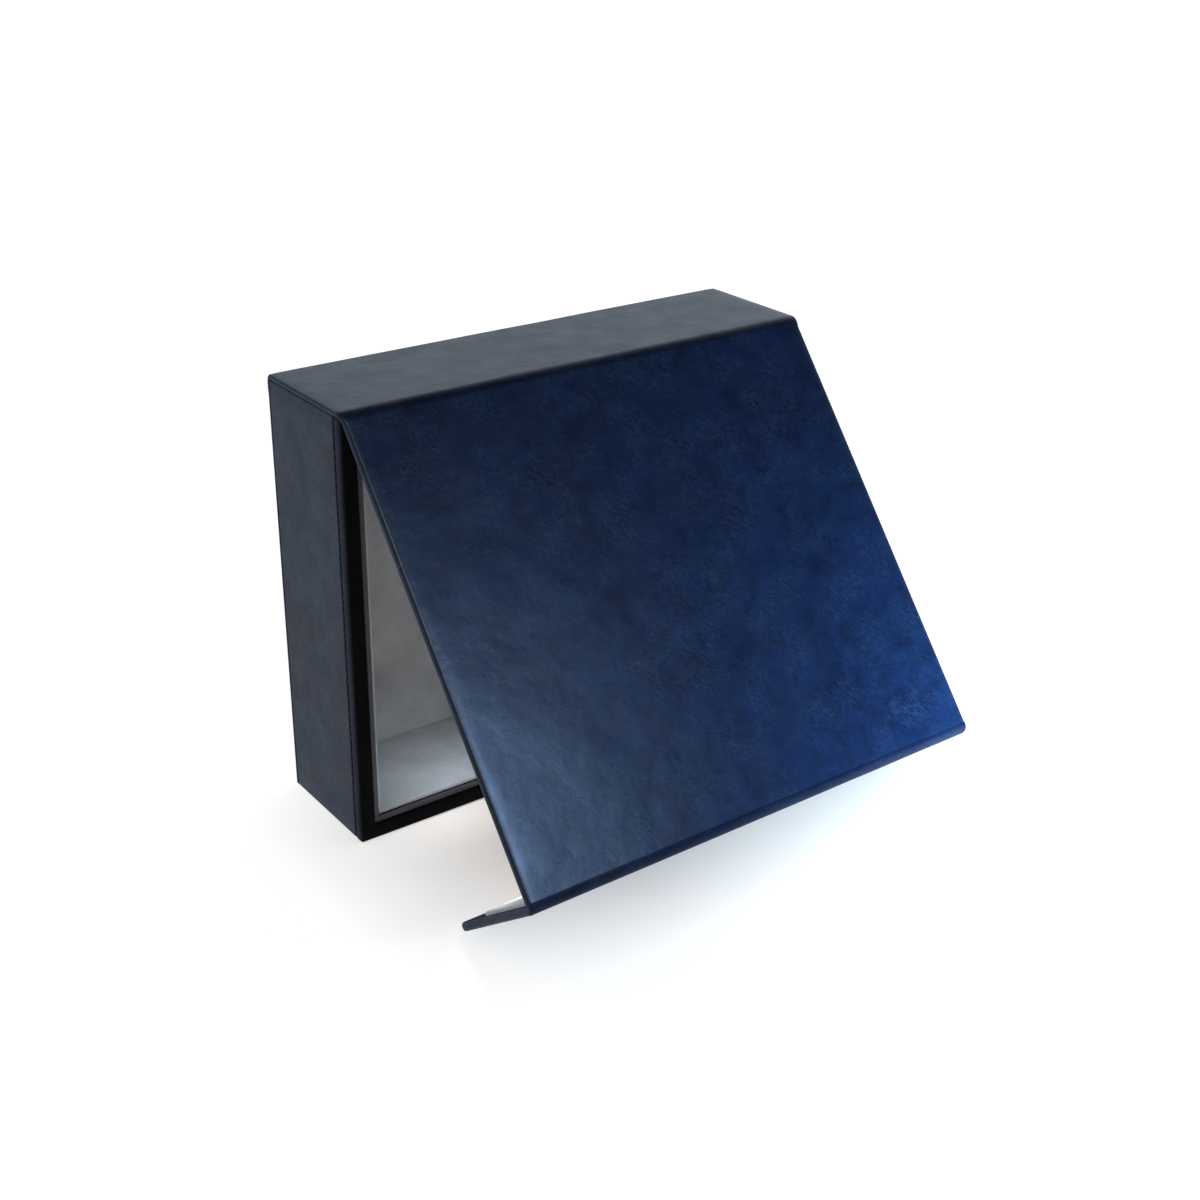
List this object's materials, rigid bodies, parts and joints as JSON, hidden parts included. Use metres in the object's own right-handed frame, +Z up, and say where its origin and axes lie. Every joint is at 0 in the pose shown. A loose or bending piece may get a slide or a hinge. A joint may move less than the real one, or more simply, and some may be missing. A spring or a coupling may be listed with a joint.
{
  "type": "phone and key box",
  "caption": "Rigid leather-covered clamshell box for phones and keys, standing on its side with the lid hanging open and a magnetic closing flap.",
  "frame": {"origin": "centre of the face that the box stands on, under the tray and the back panel", "axes": "+X along both fold lines, +Y from the open rim to the back panel, +Z up"},
  "size_m": [0.2002, 0.1582, 0.165],
  "materials": {
    "cover_leather": "crackled faux leather with a soft sheen",
    "tray_leather": "crackled faux leather with a soft sheen",
    "thread": "waxed thread",
    "board": "plain grey board",
    "lining_cloth": "smooth light grey cloth over thin padding",
    "gasket_tape": "grey conductive tape",
    "shield_foil": "thin foil",
    "magnet": "plated disc"
  },
  "bodies": {
    "tray": {"back_board": "board", "back_leather": "cover_leather", "closing_wall_board": "board", "closing_wall_leather": "tray_leather", "closing_wall_magnets": "magnet", "hinge_wall_board": "board", "hinge_wall_leather": "tray_leather", "left_wall_board": "board", "left_wall_leather": "tray_leather", "liner_pad_back": "lining_cloth", "liner_pad_closing": "lining_cloth", "liner_pad_hinge": "lining_cloth", "liner_pad_left": "lining_cloth", "liner_pad_right": "lining_cloth", "right_wall_board": "board", "right_wall_leather": "tray_leather", "rim_binding_closing": "tray_leather", "rim_binding_hinge": "tray_leather", "rim_binding_left": "tray_leather", "rim_binding_right": "tray_leather", "rim_gasket": "gasket_tape", "rim_stitching": "thread", "spine_board": "board", "spine_corner_filler": "board", "spine_leather": "cover_leather", "tray_back_board": "board", "tray_shield": "shield_foil"},
    "lid": {"lid_board": "board", "lid_fold_leather": "cover_leather", "lid_fold_strip": "cover_leather", "lid_leather": "cover_leather", "lid_pad": "lining_cloth", "lid_shield": "shield_foil", "lid_turn_in": "cover_leather"},
    "flap": {"flap_board": "board", "flap_fold_leather": "cover_leather", "flap_fold_strip": "cover_leather", "flap_leather": "cover_leather", "flap_magnets": "magnet", "flap_pad": "lining_cloth", "flap_turn_in": "cover_leather"}
  },
  "joints": [
    {"name": "lid_fold", "type": "hinge", "parent": "tray", "child": "lid", "pos_m": [0, -0.0276, 0.1602], "axis": [-1, 0, 0], "range_deg": [-39.2, 140.8], "deforming": ["lid_fold_leather", "lid_fold_strip"]},
    {"name": "flap_fold", "type": "hinge", "parent": "lid", "child": "flap", "pos_m": [0, -0.13171, 0.03271], "axis": [-1, 0, 0], "range_deg": [0, 91.8], "deforming": ["flap_fold_leather", "flap_fold_strip"]}
  ]
}
